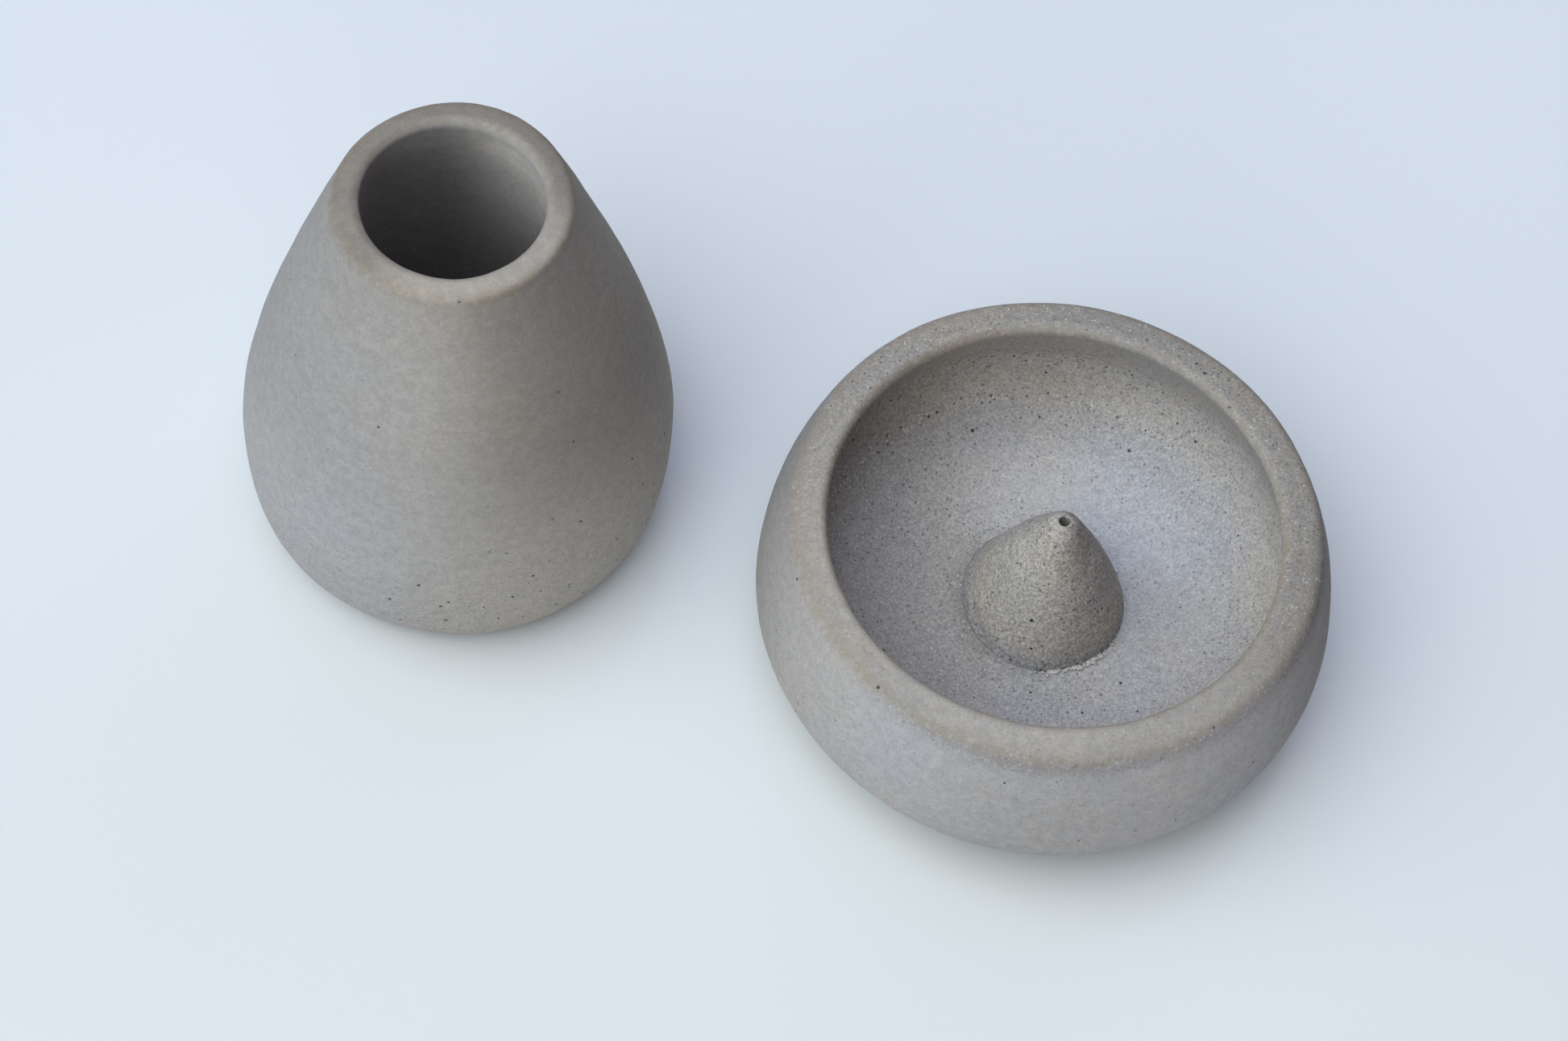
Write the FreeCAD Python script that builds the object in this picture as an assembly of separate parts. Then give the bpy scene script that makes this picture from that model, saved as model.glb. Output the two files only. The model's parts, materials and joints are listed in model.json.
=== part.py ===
import FreeCAD, Part
import math
import os

# A two-piece table set in unglazed stoneware, in millimetres, +Z up.
#   bowl    a low round incense bowl with an in-curving wall and a broad, gently sloping rim
#   cone    the stick holder luted to the middle of the bowl's floor, with a blind hole in its tip
#   vessel  a separate drop-shaped pot with a round mouth, for matches or a stem
# The origin is on the bowl's axis, where its foot meets the table. The vessel stands towards -X.

# Rim and mouth radii are those of a rim's two corners before they are rounded. A pot's height is
# that of its mouth's corner. The outer corner is lower by the rim's drop, so the rim slopes out.

# Bowl, outside
BOWL_HEIGHT = 43.7
BOWL_RADIUS = 55.0
BOWL_BELLY_HEIGHT = 17.0
BOWL_FOOT_RADIUS = 30.0
BOWL_RIM_RADIUS = 49.7
BOWL_RIM_DROP = 1.6
BOWL_RIM_ROUNDING = 2.5
BOWL_BELLY_POWER = 1.8
BOWL_SHOULDER_POWER = 2.0

# Bowl, inside: the hollow is widest below the mouth, and its floor is flat in the middle
BOWL_MOUTH_RADIUS = 41.5
BOWL_HOLLOW_RADIUS = 46.8
BOWL_HOLLOW_HEIGHT = 28.0
BOWL_HOLLOW_POWER = 2.05
BOWL_LIP_POWER = 1.65
BOWL_FLOOR_RADIUS = 18.0
BOWL_FLOOR_HEIGHT = 11.0

# Cone: its axis stands a little off the bowl's, as luted on by hand
CONE_OFFSET_X = 1.3
CONE_OFFSET_Y = 1.5
CONE_TOP_HEIGHT = 41.5
CONE_BASE_RADIUS = 15.4
CONE_SWELL = 1.2
CONE_NOSE_RADIUS = 3.4
CONE_NOSE_ANGLE = 28.0
STICK_HOLE_RADIUS = 1.05
STICK_HOLE_DEPTH = 20.0

# Vessel, outside
VESSEL_X = -115.6
VESSEL_Y = 19.8
VESSEL_HEIGHT = 95.4
VESSEL_RADIUS = 41.4
VESSEL_BELLY_HEIGHT = 25.5
VESSEL_FOOT_RADIUS = 31.0
VESSEL_RIM_RADIUS = 21.4
VESSEL_RIM_DROP = 1.2
VESSEL_RIM_ROUNDING = 2.0
VESSEL_BELLY_POWER = 2.7
VESSEL_SHOULDER_POWER = 1.65

# Vessel, inside: nearly upright at the mouth, and gently wider further down
VESSEL_MOUTH_RADIUS = 16.3
VESSEL_HOLLOW_RADIUS = 29.0
VESSEL_HOLLOW_HEIGHT = 25.0
VESSEL_HOLLOW_POWER = 2.4
VESSEL_LIP_POWER = 1.2
VESSEL_FLOOR_RADIUS = 12.0
VESSEL_FLOOR_HEIGHT = 9.0

# The inner edge of each rim
MOUTH_ROUNDING = 1.6

# Stations worked out along each curve of an outline, and how near a rim's edge has to be
STATIONS = 14
NEAR = 0.01

CENTRE = FreeCAD.Vector(0, 0, 0)
UP = FreeCAD.Vector(0, 0, 1)
OUT = FreeCAD.Vector(1, 0, 0)


def at(radius, height):
    """A point of an outline, which lies in the XZ plane."""
    return FreeCAD.Vector(radius, 0, height)


def straight(start, end):
    return Part.LineSegment(start, end).toShape()


def spline(points, start_direction, end_direction):
    curve = Part.BSplineCurve()
    curve.interpolate(Points=points, InitialTangent=start_direction, FinalTangent=end_direction)
    return curve.toShape()


def base_curve(base, belly, power):
    """A quarter of a superellipse, level where it leaves the base and upright at the belly."""
    points = []
    for i in range(STATIONS):
        angle = 0.5 * math.pi * i / (STATIONS - 1)
        out = math.sin(angle) ** (2 / power)
        down = max(math.cos(angle), 0.0) ** (2 / power)
        radius = base.x + (belly.x - base.x) * out
        height = belly.z - (belly.z - base.z) * down
        points.append(at(radius, height))
    return spline(points, OUT, UP)


def shoulder_curve(belly, rim, power):
    """Upright at the belly, then in to the rim. A power of 2 gives a parabola, less a flatter side."""
    points = []
    for i in range(STATIONS):
        share = i / (STATIONS - 1)
        ease = 2 * share**power - share**2
        radius = belly.x - (belly.x - rim.x) * ease
        height = belly.z + (rim.z - belly.z) * share
        points.append(at(radius, height))
    end_direction = at((rim.x - belly.x) * (2 * power - 2), rim.z - belly.z)
    return spline(points, UP, end_direction)


def turn(edges):
    """The solid that a closed outline sweeps about Z."""
    outline = Part.Wire(Part.__sortEdges__(edges))
    return Part.Face(outline).revolve(CENTRE, UP, 360)


def rounded(solid, corner, radius):
    """The turned solid with the circular edge through that corner of its outline rounded."""
    found = []
    for edge in solid.Edges:
        if isinstance(edge.Curve, Part.Circle):
            circle = at(edge.Curve.Radius, edge.Curve.Center.z)
            if circle.distanceToPoint(corner) < NEAR:
                found.append(edge)
    return solid.makeFillet(radius, found)


def pot(foot, belly, rim, mouth, hollow, floor, powers, rim_rounding):
    """A wall turned about Z: up the outside from the foot, over the rim, and down the inside."""
    belly_power, shoulder_power, lip_power, hollow_power = powers
    floor_centre = at(0, floor.z)
    edges = [
        straight(CENTRE, foot),
        base_curve(foot, belly, belly_power),
        shoulder_curve(belly, rim, shoulder_power),
        straight(rim, mouth),
        shoulder_curve(hollow, mouth, lip_power),
        base_curve(floor, hollow, hollow_power),
        straight(floor, floor_centre),
        straight(floor_centre, CENTRE),
    ]
    solid = rounded(turn(edges), rim, rim_rounding)
    return rounded(solid, mouth, MOUTH_ROUNDING)


def bowl():
    return pot(
        foot=at(BOWL_FOOT_RADIUS, 0),
        belly=at(BOWL_RADIUS, BOWL_BELLY_HEIGHT),
        rim=at(BOWL_RIM_RADIUS, BOWL_HEIGHT - BOWL_RIM_DROP),
        mouth=at(BOWL_MOUTH_RADIUS, BOWL_HEIGHT),
        hollow=at(BOWL_HOLLOW_RADIUS, BOWL_HOLLOW_HEIGHT),
        floor=at(BOWL_FLOOR_RADIUS, BOWL_FLOOR_HEIGHT),
        powers=(BOWL_BELLY_POWER, BOWL_SHOULDER_POWER, BOWL_LIP_POWER, BOWL_HOLLOW_POWER),
        rim_rounding=BOWL_RIM_ROUNDING,
    )


def nose_point(angle):
    """A point of the cone's round nose, at an angle above level from the nose's centre."""
    centre_height = CONE_TOP_HEIGHT - CONE_NOSE_RADIUS
    radians = math.radians(angle)
    return at(
        CONE_NOSE_RADIUS * math.cos(radians), centre_height + CONE_NOSE_RADIUS * math.sin(radians)
    )


def flank(base, top):
    """Nearly straight from the base up to the nose, swelled towards the base."""
    points = []
    for i in range(STATIONS):
        share = i / (STATIONS - 1)
        swell = 4 * CONE_SWELL * share * (1 - share) ** 2
        radius = base.x + (top.x - base.x) * share + swell
        points.append(at(radius, base.z + (top.z - base.z) * share))
    start_direction = at(top.x - base.x + 4 * CONE_SWELL, top.z - base.z)
    nose_tangent = math.radians(CONE_NOSE_ANGLE)
    end_direction = at(-math.sin(nose_tangent), math.cos(nose_tangent))
    return spline(points, start_direction, end_direction)


def cone():
    """Turned about its own axis, bored from the tip, then moved to its place on the floor."""
    base_centre = at(0, BOWL_FLOOR_HEIGHT)
    base = at(CONE_BASE_RADIUS, BOWL_FLOOR_HEIGHT)
    nose_start = nose_point(CONE_NOSE_ANGLE)
    nose_middle = nose_point(0.5 * (CONE_NOSE_ANGLE + 90))
    tip = at(0, CONE_TOP_HEIGHT)
    edges = [
        straight(base_centre, base),
        flank(base, nose_start),
        Part.Arc(nose_start, nose_middle, tip).toShape(),
        straight(tip, base_centre),
    ]
    hole_bottom = at(0, CONE_TOP_HEIGHT - STICK_HOLE_DEPTH)
    hole = Part.makeCylinder(STICK_HOLE_RADIUS, STICK_HOLE_DEPTH, hole_bottom, UP)
    shape = turn(edges).cut(hole)
    shape.translate(FreeCAD.Vector(CONE_OFFSET_X, CONE_OFFSET_Y, 0))
    return shape


def vessel():
    shape = pot(
        foot=at(VESSEL_FOOT_RADIUS, 0),
        belly=at(VESSEL_RADIUS, VESSEL_BELLY_HEIGHT),
        rim=at(VESSEL_RIM_RADIUS, VESSEL_HEIGHT - VESSEL_RIM_DROP),
        mouth=at(VESSEL_MOUTH_RADIUS, VESSEL_HEIGHT),
        hollow=at(VESSEL_HOLLOW_RADIUS, VESSEL_HOLLOW_HEIGHT),
        floor=at(VESSEL_FLOOR_RADIUS, VESSEL_FLOOR_HEIGHT),
        powers=(VESSEL_BELLY_POWER, VESSEL_SHOULDER_POWER, VESSEL_LIP_POWER, VESSEL_HOLLOW_POWER),
        rim_rounding=VESSEL_RIM_ROUNDING,
    )
    shape.translate(FreeCAD.Vector(VESSEL_X, VESSEL_Y, 0))
    return shape


def write(name, shape):
    """Each node holds one solid, and its file has the node's name."""
    solid = shape.Solids[0]
    print(name, "solids", len(shape.Solids), "valid", solid.isValid(), "mm3", round(solid.Volume))
    solid.exportStep(os.path.join("parts", name + ".step"))


os.makedirs("parts", exist_ok=True)
write("bowl", bowl())
write("cone", cone())
write("vessel", vessel())
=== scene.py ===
import json
import math
import random
from collections import namedtuple

import bpy
import numpy as np
from mathutils import Matrix, Vector, noise


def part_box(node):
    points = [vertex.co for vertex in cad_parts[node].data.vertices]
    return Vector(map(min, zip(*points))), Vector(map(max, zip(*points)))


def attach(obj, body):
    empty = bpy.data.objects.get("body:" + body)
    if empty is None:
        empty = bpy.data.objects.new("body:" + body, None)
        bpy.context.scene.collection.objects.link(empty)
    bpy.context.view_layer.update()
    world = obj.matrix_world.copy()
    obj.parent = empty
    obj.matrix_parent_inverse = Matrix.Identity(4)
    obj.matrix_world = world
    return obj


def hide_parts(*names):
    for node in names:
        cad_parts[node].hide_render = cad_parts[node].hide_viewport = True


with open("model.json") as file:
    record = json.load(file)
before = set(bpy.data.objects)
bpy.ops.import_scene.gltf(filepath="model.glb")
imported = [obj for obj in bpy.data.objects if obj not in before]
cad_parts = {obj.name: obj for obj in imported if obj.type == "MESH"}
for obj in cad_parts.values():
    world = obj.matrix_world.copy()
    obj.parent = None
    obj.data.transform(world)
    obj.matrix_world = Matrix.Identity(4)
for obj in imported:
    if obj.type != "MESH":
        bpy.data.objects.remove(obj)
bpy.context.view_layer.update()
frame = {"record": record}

# Everything is in metres. The two pots and the cone are turned about upright axes from the same
# outlines as their CAD nodes, with the small unevenness of hand-turned clay added to them.
MM = 0.001
TAU = 2 * math.pi
SEED = 7


# ---------------------------------------------------------------------------------------------
# Outlines: lists of (radius, height), as turned on a wheel
# ---------------------------------------------------------------------------------------------

Pot = namedtuple("Pot", "foot belly rim mouth hollow floor powers edges")

BOWL = Pot(
    foot=(30.0 * MM, 0.0),
    belly=(55.0 * MM, 17.0 * MM),
    rim=(49.7 * MM, 42.1 * MM),
    mouth=(41.5 * MM, 43.7 * MM),
    hollow=(46.8 * MM, 28.0 * MM),
    floor=(18.0 * MM, 11.0 * MM),
    powers=(1.8, 2.0, 1.65, 2.05),
    edges=(2.5 * MM, 1.6 * MM),
)
VESSEL = Pot(
    foot=(31.0 * MM, 0.0),
    belly=(41.4 * MM, 25.5 * MM),
    rim=(21.4 * MM, 94.2 * MM),
    mouth=(16.3 * MM, 95.4 * MM),
    hollow=(29.0 * MM, 25.0 * MM),
    floor=(12.0 * MM, 9.0 * MM),
    powers=(2.7, 1.65, 1.2, 2.4),
    edges=(2.0 * MM, 1.6 * MM),
)
BOWL_MOUTH_OFFSET = (-0.45 * MM, 0.10 * MM)

# Points along each curve of an outline, and how many points back from a corner give a curve's
# direction there
CURVE_STATIONS = 160
LOOK_BACK = 8

# A shorter step than this, or a point nearer to the axis, counts as none
NO_STEP = 1e-9
ON_AXIS = 1e-7

# The cone's flank is straight at a power of 1, and fuller above that. Its edge goes a little
# below the floor.
CONE_BASE_RADIUS = 15.4 * MM
CONE_FLANK_POWER = 1.24
CONE_SUNK = 0.6 * MM
CONE_NOSE_RADIUS = 3.4 * MM
CONE_NOSE_ANGLE = math.radians(28)
CONE_OFFSET = (1.3 * MM, 1.5 * MM)
STICK_HOLE_DEPTH = 20.0 * MM
HOLE_LIP_RADIUS = 0.35 * MM
NOSE_STEPS = 14
LIP_STEPS = 4

# How far the cone's foot is spread onto the floor, and how high up it starts to spread
SLIP_SPREAD = 0.8 * MM
SLIP_HEIGHT = 4.5 * MM

# Where crumbs of slip lie: from and to azimuth, from and to distance from the cone's foot in mm,
# how many, and their largest size in mm. They are lifted a little, because the floor's
# unevenness would hide them.
CRUMB_LIFT = 0.28 * MM
CRUMBS = (
    (276, 317, 0.15, 1.0, 70, 1.0),
    (265, 334, 0.1, 1.7, 34, 0.50),
    (122, 152, 1.6, 3.6, 22, 0.55),
    (30, 250, 0.6, 2.6, 18, 0.32),
)


def base_curve(base, belly, power):
    """A quarter of a superellipse, level where it leaves the base and upright at the belly."""
    points = []
    for i in range(CURVE_STATIONS + 1):
        angle = 0.5 * math.pi * i / CURVE_STATIONS
        out = math.sin(angle) ** (2 / power)
        down = max(math.cos(angle), 0.0) ** (2 / power)
        radius = base[0] + (belly[0] - base[0]) * out
        height = belly[1] - (belly[1] - base[1]) * down
        points.append((radius, height))
    return points


def shoulder_curve(belly, rim, power):
    """Upright at the belly, then in to the rim."""
    points = []
    for i in range(CURVE_STATIONS + 1):
        share = i / CURVE_STATIONS
        ease = 2 * share**power - share**2
        radius = belly[0] - (belly[0] - rim[0]) * ease
        height = belly[1] + (rim[1] - belly[1]) * share
        points.append((radius, height))
    return points


def trimmed(points, distance):
    """The points without the last stretch of that length, ending exactly where it starts."""
    left = distance
    kept = list(points)
    while True:
        end = np.array(kept.pop())
        before = np.array(kept[-1])
        step = np.linalg.norm(end - before)
        if step >= left:
            kept.append(tuple(end + (before - end) * left / step))
            return kept
        left -= step


def rounded_corner(first, corner, second, radius, count=12):
    """Two lines that end at a corner, trimmed, and the points of the arc that joins them."""
    a = np.array(first[-LOOK_BACK]) - np.array(corner)
    b = np.array(second[-LOOK_BACK]) - np.array(corner)
    a /= np.linalg.norm(a)
    b /= np.linalg.norm(b)
    half = 0.5 * math.acos(float(np.clip(a @ b, -1, 1)))
    setback = radius / math.tan(half)
    first = trimmed(first, setback)
    second = trimmed(second, setback)
    bisector = (a + b) / np.linalg.norm(a + b)
    centre = np.array(corner) + bisector * radius / math.sin(half)
    start = np.array(first[-1]) - centre
    end = np.array(second[-1]) - centre
    sweep = math.atan2(start[0] * end[1] - start[1] * end[0], float(start @ end))
    joining = []
    for i in range(1, count):
        turn = sweep * i / count
        spin = np.array([[math.cos(turn), -math.sin(turn)], [math.sin(turn), math.cos(turn)]])
        joining.append(tuple(centre + spin @ start))
    return first, joining, second


def line(start, end, count=40):
    """Evenly spaced points from start to end."""
    start, end = np.array(start), np.array(end)
    return [tuple(start + (end - start) * i / count) for i in range(count + 1)]


def arc(centre, radius, first, last, steps):
    """Points round a centre, from one angle above level to another."""
    points = []
    for i in range(steps + 1):
        angle = first + (last - first) * i / steps
        points.append((centre[0] + radius * math.cos(angle), centre[1] + radius * math.sin(angle)))
    return points


def pot_outline(pot):
    """From the middle of the foot up the outside, over the rim, and down to the floor's middle."""
    belly_power, shoulder_power, lip_power, hollow_power = pot.powers
    foot = line((0.0, pot.foot[1]), pot.foot)
    outside = base_curve(pot.foot, pot.belly, belly_power)
    outside += shoulder_curve(pot.belly, pot.rim, shoulder_power)[1:]
    inside = base_curve(pot.floor, pot.hollow, hollow_power)
    inside += shoulder_curve(pot.hollow, pot.mouth, lip_power)[1:]
    middle = tuple(0.5 * (np.array(pot.rim) + np.array(pot.mouth)))
    outer_radius, inner_radius = pot.edges
    top_out, top_in = line(middle, pot.rim), line(middle, pot.mouth)
    outside, outer_arc, top_out = rounded_corner(outside, pot.rim, top_out, outer_radius)
    inside, inner_arc, top_in = rounded_corner(inside, pot.mouth, top_in, inner_radius)
    floor = line(pot.floor, (0.0, pot.floor[1]))
    points = foot[:-1] + outside + outer_arc + top_out[::-1] + top_in[1:]
    return points + inner_arc[::-1] + inside[::-1] + floor[1:]


def cone_outline(base_height, top_height, hole_radius):
    """From the base's edge up the flank, round the nose, over the hole's lip and down the hole."""
    nose_height = top_height - CONE_NOSE_RADIUS
    lip_centre = hole_radius + HOLE_LIP_RADIUS
    lip_angle = math.acos(lip_centre / CONE_NOSE_RADIUS)
    nose = arc((0.0, nose_height), CONE_NOSE_RADIUS, CONE_NOSE_ANGLE, lip_angle, NOSE_STEPS)
    points = [(CONE_BASE_RADIUS, base_height - CONE_SUNK)]
    for i in range(CURVE_STATIONS):
        share = i / CURVE_STATIONS
        radius = CONE_BASE_RADIUS + (nose[0][0] - CONE_BASE_RADIUS) * share**CONE_FLANK_POWER
        points.append((radius, base_height + (nose[0][1] - base_height) * share))
    lip_height = nose[-1][1] - HOLE_LIP_RADIUS
    lip = arc((lip_centre, lip_height), HOLE_LIP_RADIUS, 0.5 * math.pi, math.pi, LIP_STEPS)
    bottom = (hole_radius, top_height - STICK_HOLE_DEPTH)
    points += nose + lip[1:]
    return points + line(points[-1], bottom)[1:] + line(bottom, (0.0, bottom[1]))[1:]


def resampled(points, spacing):
    """Points along the outline at spacing(radius, height) from each other, as an array."""
    points = np.array(points)
    steps = np.linalg.norm(np.diff(points, axis=0), axis=1)
    points = points[np.r_[True, steps > NO_STEP]]
    lengths = np.linalg.norm(np.diff(points, axis=0), axis=1)
    along = np.r_[0.0, np.cumsum(lengths)]
    density = np.array([1 / spacing(*p) for p in points])
    count = np.r_[0.0, np.cumsum(lengths * 0.5 * (density[1:] + density[:-1]))]
    wanted = np.linspace(0, count[-1], int(round(count[-1])) + 1)
    at = np.interp(wanted, count, along)
    return np.stack([np.interp(at, along, points[:, k]) for k in (0, 1)], axis=1)


# ---------------------------------------------------------------------------------------------
# Turned meshes
# ---------------------------------------------------------------------------------------------


def outline_normals(outline):
    """Unit normals of an outline that runs up the outside, pointing out of the clay."""
    tangent = np.gradient(outline, axis=0)
    tangent /= np.maximum(np.linalg.norm(tangent, axis=1, keepdims=True), 1e-12)
    return np.stack([tangent[:, 1], -tangent[:, 0]], axis=1)


def keep_numbers(mesh, name, numbers):
    """Keeps a number for each point of a mesh, for its material."""
    attribute = mesh.attributes.new(name, "FLOAT", "POINT")
    attribute.data.foreach_set("value", numbers)


def turned_mesh(name, outline, around, centre, relief, values, marks, drift=None):
    """Turns the outline about the upright axis at centre, and moves each point along its normal
    by relief(point, angle, station). values are per-station numbers, and marks(angle, station)
    gives those named in MARKS. All are kept as attributes. drift is how far each station's ring
    stands off the axis."""
    normals = outline_normals(outline)
    starts_on_axis = outline[0][0] < ON_AXIS
    ends_on_axis = outline[-1][0] < ON_AXIS
    rows = list(range(int(starts_on_axis), len(outline) - int(ends_on_axis)))
    angles = [TAU * j / around for j in range(around)]
    verts = []
    for i in rows:
        radius, height = outline[i]
        for angle in angles:
            out = Vector((math.cos(angle), math.sin(angle), 0.0))
            point = Vector((0.0, 0.0, height)) + out * radius
            normal = out * normals[i][0] + Vector((0.0, 0.0, normals[i][1]))
            point += normal * relief(point, angle, i)
            if drift is not None:
                point += Vector((drift[i][0], drift[i][1], 0.0))
            verts.append(point + centre)
    faces = []
    for i in range(len(rows) - 1):
        for j in range(around):
            k = (j + 1) % around
            a, b = i * around + j, i * around + k
            faces.append((a, b, b + around, a + around))
    stations = [i for i in rows for _ in range(around)]
    if starts_on_axis:
        verts.append(Vector((0.0, 0.0, outline[0][1])) + centre)
        faces += [(len(verts) - 1, (j + 1) % around, j) for j in range(around)]
        stations.append(0)
    if ends_on_axis:
        last = (len(rows) - 1) * around
        verts.append(Vector((0.0, 0.0, outline[-1][1])) + centre)
        faces += [(len(verts) - 1, last + j, last + (j + 1) % around) for j in range(around)]
        stations.append(len(outline) - 1)
    mesh = bpy.data.meshes.new(name)
    mesh.from_pydata(verts, [], faces)
    mesh.shade_smooth()
    for key, per_station in values.items():
        keep_numbers(mesh, key, np.asarray(per_station, dtype=float)[stations])
    turns = [angles[n % around] if n < len(rows) * around else 0.0 for n in range(len(verts))]
    by_point = [marks(turn, i) for turn, i in zip(turns, stations)]
    for key, numbers in zip(MARKS, zip(*by_point)):
        keep_numbers(mesh, key, numbers)
    heights = np.asarray(values["along"])[stations]
    spin = mesh.attributes.new("spin", "FLOAT_VECTOR", "POINT")
    spin.data.foreach_set(
        "vector", np.stack([np.cos(turns), np.sin(turns), heights], axis=1).ravel()
    )
    piece = bpy.data.objects.new(name, mesh)
    bpy.context.scene.collection.objects.link(piece)
    return piece


# How hand-turned clay stands off its true outline: oval, slightly three-sided, softly uneven in
# lumps (height, size, and a number that sets one pattern apart from the next), and in turning
# rings (height and pitch), which are fainter outside. It all fades out at the foot.
OVAL = 0.12 * MM
THREE_SIDED = 0.07 * MM
LUMPS = ((0.22 * MM, 26 * MM, 0), (0.10 * MM, 8 * MM, 5), (0.035 * MM, 2.2 * MM, 9))
FINE_RINGS = (0.045 * MM, 1.6 * MM)
BROAD_RINGS = (0.05 * MM, 4.5 * MM)
OUTSIDE_RINGS = 0.35
FOOT_HEIGHT = 1.0 * MM
FOOT_FADE = 4.0 * MM

# How far the halos along a rim's edges spread, how sharply its flat top begins and ends, and the
# rounded band at its outer corner: how far down it is centred, and how wide it is
OUTER_HALO = 1.5 * MM
INNER_HALO = 0.9 * MM
TOP_FADE = 0.3 * MM
BAND_DROP = 1.0 * MM
BAND_WIDTH = 2.2 * MM

# The share of the way from a mouth to the floor over which the mouth's drift dies away
DRIFT_FADE = 0.4


def smooth(share):
    share = np.clip(share, 0, 1)
    return share * share * (3 - 2 * share)


def bell(distance, width):
    """1 at no distance, and about a third at that width."""
    return np.exp(-((distance / width) ** 2))


def smooth_noise(point, size, offset):
    """Soft noise from about -0.5 to 0.5 with lumps of the given size."""
    return noise.noise(point / size + Vector((offset, 2.3 * offset, -offset)))


def outline_lengths(outline):
    return np.r_[0.0, np.cumsum(np.linalg.norm(np.diff(outline, axis=0), axis=1))]


def station_at(outline, point):
    """The station of an outline that is nearest to a point."""
    return np.argmin(np.linalg.norm(outline - np.array(point), axis=1))


def outline_is_inside(outline, pot):
    """True for the stations past the middle of the rim."""
    middle = 0.5 * (np.array(pot.rim) + np.array(pot.mouth))
    return np.arange(len(outline)) > station_at(outline, middle)


def pot_relief(outline, pot, offset, inside_rings):
    """How far each point of a pot's clay stands off the true outline. offset gives each pot its
    own pattern, and inside_rings is how strong its turning rings are inside."""
    inner = outline_is_inside(outline, pot)
    foot_fade = np.clip((outline[:, 1] - FOOT_HEIGHT) / FOOT_FADE, 0, 1)
    rings = [
        FINE_RINGS[0] * noise.noise(Vector((offset, 0.0, along / FINE_RINGS[1])))
        + BROAD_RINGS[0] * noise.noise(Vector((0.0, offset, along / BROAD_RINGS[1])))
        for along in outline_lengths(outline)
    ]

    def relief(point, angle, i):
        uneven = OVAL * math.cos(2 * angle + offset) + THREE_SIDED * math.cos(3 * angle - offset)
        for lump, size, apart in LUMPS:
            uneven += lump * smooth_noise(point, size, offset + apart)
        return foot_fade[i] * (uneven + rings[i] * (inside_rings if inner[i] else OUTSIDE_RINGS))

    return relief


def mouth_drift(outline, pot, offset):
    """A mouth that was cut a little off the pot's axis: from the rim's crown to above the floor."""
    lengths = outline_lengths(outline)
    corners = [station_at(outline, corner) for corner in (pot.rim, pot.mouth, pot.floor)]
    outer, inner, floor = lengths[corners]
    begins = smooth((lengths - outer) / (inner - outer))
    ends = smooth((floor - lengths) / (DRIFT_FADE * (floor - inner)))
    return np.outer(begins * ends, offset)


def pot_values(outline, pot):
    """Attributes along a pot's outline: the length along it, in mm, how near it is to a rim's
    edges, how much it is the rim's flat top, and whether it is inside."""
    lengths = outline_lengths(outline)
    past_outer = lengths - lengths[station_at(outline, pot.rim)]
    past_inner = lengths - lengths[station_at(outline, pot.mouth)]
    on_top = 1 / (1 + np.exp(-past_outer / TOP_FADE)) / (1 + np.exp(past_inner / TOP_FADE))
    return {
        "along": lengths / MM,
        "edge": bell(past_outer, OUTER_HALO) + bell(past_inner, INNER_HALO),
        "top": on_top,
        "inside": outline_is_inside(outline, pot).astype(float),
    }


def outer_band(outline, pot):
    """The rounded outer corner of a rim and the first of the wall below it."""
    lengths = outline_lengths(outline)
    past_outer = lengths - lengths[station_at(outline, pot.rim)]
    return bell(past_outer + BAND_DROP, BAND_WIDTH)


def torn_rings(outline, pot, heights, width):
    """Inside, where the turning tool tore grains out in rings."""
    value = np.zeros(len(outline))
    for height in heights:
        value = np.maximum(value, bell(outline[:, 1] - height, width))
    return value * outline_is_inside(outline, pot)


# What a turned piece's marks give for each point: how pale its clay is, which is mostly painted
# light and shade, how warm, which is partly a painted tint of the light, how plain its grain is,
# how much of its grain was torn out, and how pitted it is
MARKS = ("tone", "warm", "crisp", "torn", "pitted")

# What varies round a piece, much of it painted light and shade and painted tints of the light: the
# azimuth it is strongest at, the cosines between which it comes in, and how much it adds there
# Painted light and shade on the bowl's rim: paler on its front, darker on its front right, right
# and back
BOWL_RIM_PAINTED_SHADING = (
    (280, 0.60, 0.97, 0.10),
    (325, 0.6, 0.95, -0.08),
    (30, 0.2, 0.9, -0.10),
    (110, 0.3, 0.9, -0.05),
)
# Painted shade along the front right of the bowl's outer edge, over its ochre halo
BOWL_EDGE_PAINTED_SHADE = ((300, 0.15, 0.75, -0.20),)
# Painted light and shade on the bowl's outside: darker on its right and back and a little on its
# left, paler towards its front
BOWL_OUTSIDE_PAINTED_SHADING = (
    (25, 0.3, 0.95, -0.26),
    (352, 0.85, 1.0, -0.13),
    (168, 0.5, 0.95, -0.06),
    (228, 0.8, 1.0, 0.08),
    (318, 0.7, 0.98, 0.10),
    (270, 0.5, 1.0, 0.04),
)
# Painted shade on the left of the bowl's inner wall, and painted light towards its back
BOWL_HOLLOW_PAINTED_SHADING = ((60, -0.5, 0.5, 0.09), (180, 0.3, 0.95, -0.26))
# Painted light on the bowl's floor: a painted sheen towards its back, and painted shade on its left
BOWL_FLOOR_PAINTED_SHEEN_AND_SHADE = (
    (82, 0.2, 0.95, 0.25),
    (48, 0.7, 0.99, 0.08),
    (180, 0.0, 0.9, -0.12),
    (0, 0.5, 0.95, -0.03),
)
# Painted tint of the light on the bowl's outside: warmer on its right and left, a little cooler
# towards the front left
BOWL_OUTSIDE_PAINTED_TINT = (
    (178, 0.5, 0.95, 0.25),
    (228, 0.8, 1.0, -0.08),
    (15, 0.4, 0.95, 0.34),
    (260, 0.5, 1.0, 0.08),
)
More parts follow.
